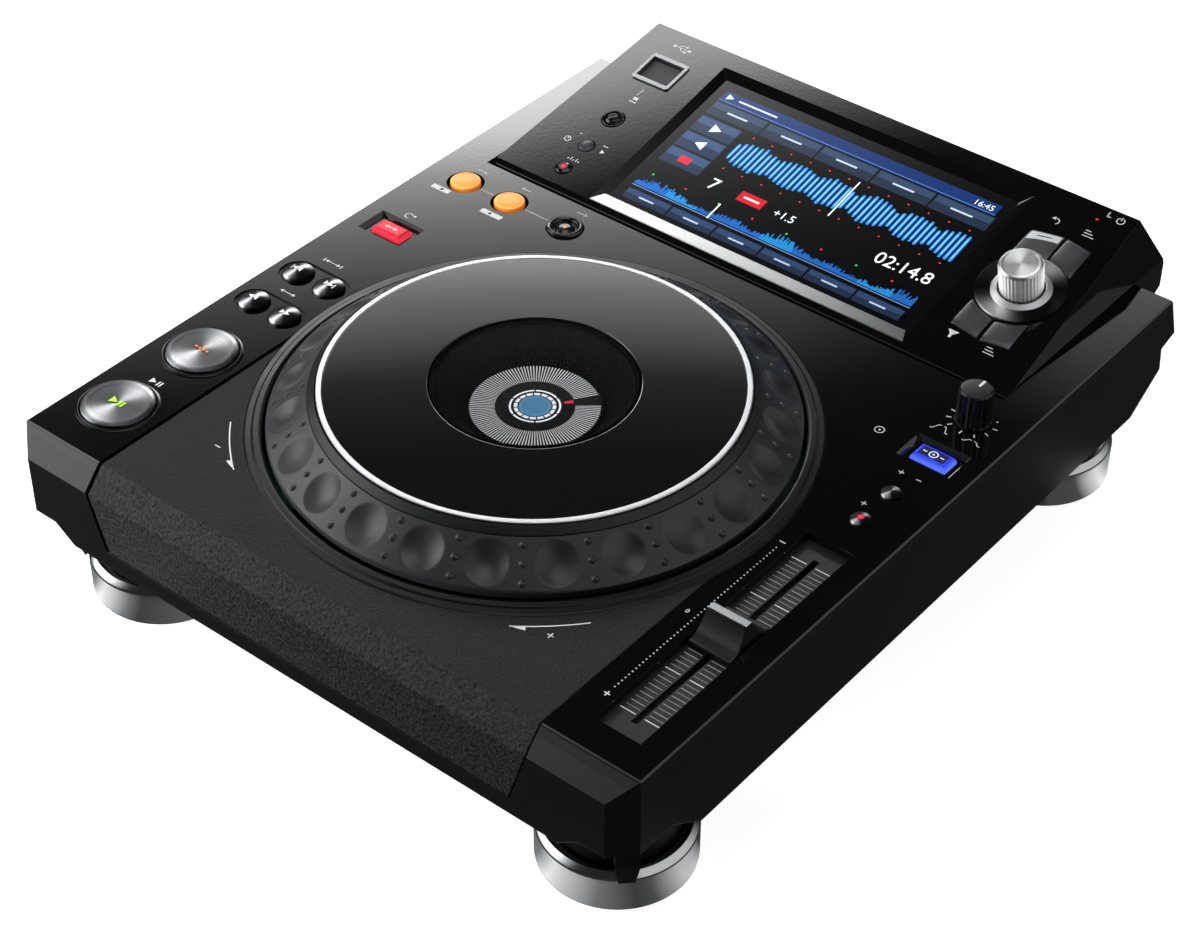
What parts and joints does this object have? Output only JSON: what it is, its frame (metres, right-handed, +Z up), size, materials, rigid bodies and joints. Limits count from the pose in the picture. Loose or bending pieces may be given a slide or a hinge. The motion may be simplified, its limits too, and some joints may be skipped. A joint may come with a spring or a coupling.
{
  "type": "tabletop dj player",
  "caption": "Flat tabletop media deck with a large dimpled jog wheel, a tilted touch screen, lit buttons, rotary knobs and a long pitch fader, standing on round metal feet.",
  "frame": {"origin": "middle of the overall footprint, on the surface the feet stand on", "axes": "+X to the user's right, +Y from the user's edge to the back, +Z up"},
  "size_m": [0.306, 0.3886, 0.1113],
  "materials": {
    "black_gloss": "high gloss black",
    "black_satin": "satin black",
    "black_grain": "fine grained dark grey",
    "silver_metal": "satin silver",
    "spun_metal": "spun aluminium",
    "trim_metal": "brushed trim",
    "rubber_black": "matte rubber",
    "foot_rubber": "matte rubber",
    "screen_glass": "dark glass",
    "clear_window": "clear lens",
    "button_dark": "gloss dark grey",
    "button_grey": "satin grey",
    "lit_red": "lit red",
    "lit_blue": "lit blue",
    "lit_orange": "lit orange",
    "flap_grey": "satin dark grey",
    "board_green": "circuit board",
    "board_tan": "paper board",
    "steel_plain": "plain steel",
    "bronze": "sintered bush",
    "inside_black": "matte black"
  },
  "bodies": {
    "case": {"bottom_case": "black_satin", "rear_panel": "black_satin", "side_frame": "black_satin", "deck_plate": "black_gloss", "front_cover": "black_grain", "display_housing": "black_gloss", "screen_trim": "trim_metal", "touch_glass": "screen_glass", "lcd_module": "steel_plain", "usb_frame": "silver_metal", "usb_socket": "steel_plain", "jog_bezel": "black_satin", "jog_bearing": "bronze", "jog_column": "steel_plain", "jog_dish": "inside_black", "jog_display": "screen_glass", "jog_window": "clear_window", "transport_rings": "black_satin", "selector_ring": "black_gloss", "speed_pot": "steel_plain", "tempo_plate": "black_satin", "tempo_fader": "steel_plain", "foot_rings": "silver_metal", "foot_pads": "foot_rubber", "main_board": "board_green", "power_board": "board_tan", "switch_boards": "board_green", "rear_jacks": "steel_plain", "case_screws": "steel_plain"},
    "jog_wheel": {"jog_hub": "black_satin", "jog_rim": "rubber_black"},
    "jog_touch": {"jog_plate": "black_gloss", "jog_ring": "silver_metal"},
    "selector_press": {"selector_encoder": "steel_plain"},
    "selector_turn": {"selector_knob": "silver_metal"},
    "speed": {"speed_knob": "black_satin"},
    "tempo": {"tempo_cap": "black_satin", "tempo_stem": "steel_plain"},
    "power": {"power_button": "black_satin"},
    "usb_cover": {"usb_flap": "flap_grey"},
    "play": {"play_button": "spun_metal"},
    "cue": {"cue_button": "spun_metal"},
    "search_back_key": {"search_back": "button_dark"},
    "search_forward_key": {"search_forward": "button_dark"},
    "track_back_key": {"track_back": "button_dark"},
    "track_forward_key": {"track_forward": "button_dark"},
    "direction": {"direction_button": "lit_red"},
    "loop_in": {"loop_in_button": "lit_orange"},
    "loop_out": {"loop_out_button": "lit_orange"},
    "reloop": {"reloop_button": "button_dark"},
    "usb_stop": {"usb_stop_button": "button_dark"},
    "time_mode": {"time_button": "button_grey"},
    "quantize": {"quantize_button": "button_dark"},
    "back": {"back_button": "button_grey"},
    "tag": {"tag_button": "button_grey"},
    "filter": {"filter_button": "button_grey"},
    "shortcut": {"shortcut_button": "button_grey"},
    "jog_mode": {"jog_mode_button": "lit_blue"},
    "tempo_range": {"tempo_range_button": "button_dark"},
    "master_tempo": {"master_tempo_button": "button_dark"}
  },
  "joints": [
    {"name": "jog_spin", "type": "hinge", "parent": "case", "child": "jog_wheel", "pos_m": [0, -0.05945, 0.094], "axis": [0, 0, 1], "continuous": true},
    {"name": "jog_touch_press", "type": "slide", "parent": "jog_wheel", "child": "jog_touch", "axis": [0, 0, -1], "range_m": [0, 0.0004], "stiffness_N_per_m": 9000, "springref_m": -0.0005},
    {"name": "play_press", "type": "slide", "parent": "case", "child": "play", "axis": [0, 0, -1], "range_m": [0, 0.001], "stiffness_N_per_m": 1800, "springref_m": -0.00028},
    {"name": "cue_press", "type": "slide", "parent": "case", "child": "cue", "axis": [0, 0, -1], "range_m": [0, 0.001], "stiffness_N_per_m": 1800, "springref_m": -0.00028},
    {"name": "search_back_key_press", "type": "slide", "parent": "case", "child": "search_back_key", "axis": [0, 0, -1], "range_m": [0, 0.0008], "stiffness_N_per_m": 1500, "springref_m": -0.00027},
    {"name": "search_forward_key_press", "type": "slide", "parent": "case", "child": "search_forward_key", "axis": [0, 0, -1], "range_m": [0, 0.0008], "stiffness_N_per_m": 1500, "springref_m": -0.00027},
    {"name": "track_back_key_press", "type": "slide", "parent": "case", "child": "track_back_key", "axis": [0, 0, -1], "range_m": [0, 0.0008], "stiffness_N_per_m": 1500, "springref_m": -0.00027},
    {"name": "track_forward_key_press", "type": "slide", "parent": "case", "child": "track_forward_key", "axis": [0, 0, -1], "range_m": [0, 0.0008], "stiffness_N_per_m": 1500, "springref_m": -0.00027},
    {"name": "direction_press", "type": "slide", "parent": "case", "child": "direction", "axis": [0, 0, -1], "range_m": [0, 0.0008], "stiffness_N_per_m": 1500, "springref_m": -0.00027},
    {"name": "loop_in_press", "type": "slide", "parent": "case", "child": "loop_in", "axis": [0, 0, -1], "range_m": [0, 0.0008], "stiffness_N_per_m": 1500, "springref_m": -0.00027},
    {"name": "loop_out_press", "type": "slide", "parent": "case", "child": "loop_out", "axis": [0, 0, -1], "range_m": [0, 0.0008], "stiffness_N_per_m": 1500, "springref_m": -0.00027},
    {"name": "reloop_press", "type": "slide", "parent": "case", "child": "reloop", "axis": [0, 0, -1], "range_m": [0, 0.0008], "stiffness_N_per_m": 1500, "springref_m": -0.00027},
    {"name": "usb_stop_press", "type": "slide", "parent": "case", "child": "usb_stop", "axis": [0, 0.213, -0.977], "range_m": [0, 0.0008], "stiffness_N_per_m": 1500, "springref_m": -0.00027},
    {"name": "time_mode_press", "type": "slide", "parent": "case", "child": "time_mode", "axis": [0, 0.213, -0.977], "range_m": [0, 0.0008], "stiffness_N_per_m": 1500, "springref_m": -0.00027},
    {"name": "quantize_press", "type": "slide", "parent": "case", "child": "quantize", "axis": [0, 0.213, -0.977], "range_m": [0, 0.0008], "stiffness_N_per_m": 1500, "springref_m": -0.00027},
    {"name": "selector_press_slide", "type": "slide", "parent": "case", "child": "selector_press", "axis": [0, 0.213, -0.977], "range_m": [0, 0.0008], "stiffness_N_per_m": 1800, "springref_m": -0.0005},
    {"name": "selector_spin", "type": "hinge", "parent": "selector_press", "child": "selector_turn", "pos_m": [0.107, 0.12134, 0.09924], "axis": [0, -0.213, 0.977], "continuous": true},
    {"name": "back_press", "type": "slide", "parent": "case", "child": "back", "axis": [0, 0.213, -0.977], "range_m": [0, 0.0008], "stiffness_N_per_m": 1500, "springref_m": -0.00027},
    {"name": "tag_press", "type": "slide", "parent": "case", "child": "tag", "axis": [0, 0.213, -0.977], "range_m": [0, 0.0008], "stiffness_N_per_m": 1500, "springref_m": -0.00027},
    {"name": "filter_press", "type": "slide", "parent": "case", "child": "filter", "axis": [0, 0.213, -0.977], "range_m": [0, 0.0008], "stiffness_N_per_m": 1500, "springref_m": -0.00027},
    {"name": "shortcut_press", "type": "slide", "parent": "case", "child": "shortcut", "axis": [0, 0.213, -0.977], "range_m": [0, 0.0008], "stiffness_N_per_m": 1500, "springref_m": -0.00027},
    {"name": "speed_turn", "type": "hinge", "parent": "case", "child": "speed", "pos_m": [0.1325, 0.04855, 0.089], "axis": [0, 0, 1], "range_deg": [-145, 145]},
    {"name": "jog_mode_press", "type": "slide", "parent": "case", "child": "jog_mode", "axis": [0, 0, -1], "range_m": [0, 0.0008], "stiffness_N_per_m": 1500, "springref_m": -0.00027},
    {"name": "tempo_range_press", "type": "slide", "parent": "case", "child": "tempo_range", "axis": [0, 0, -1], "range_m": [0, 0.0008], "stiffness_N_per_m": 1500, "springref_m": -0.00027},
    {"name": "master_tempo_press", "type": "slide", "parent": "case", "child": "master_tempo", "axis": [0, 0, -1], "range_m": [0, 0.0008], "stiffness_N_per_m": 1500, "springref_m": -0.00027},
    {"name": "tempo_slide", "type": "slide", "parent": "case", "child": "tempo", "axis": [0, 1, 0], "range_m": [-0.05, 0.05]},
    {"name": "power_press", "type": "slide", "parent": "case", "child": "power", "axis": [0, -1, 0], "range_m": [0, 0.002], "stiffness_N_per_m": 900, "springref_m": -0.00067},
    {"name": "usb_cover_hinge", "type": "hinge", "parent": "case", "child": "usb_cover", "pos_m": [-0.1052, 0.15999, 0.10081], "axis": [1, 0, 0], "range_deg": [0, 80], "stiffness_Nm_per_rad": 0.002, "springref_deg": -25}
  ]
}
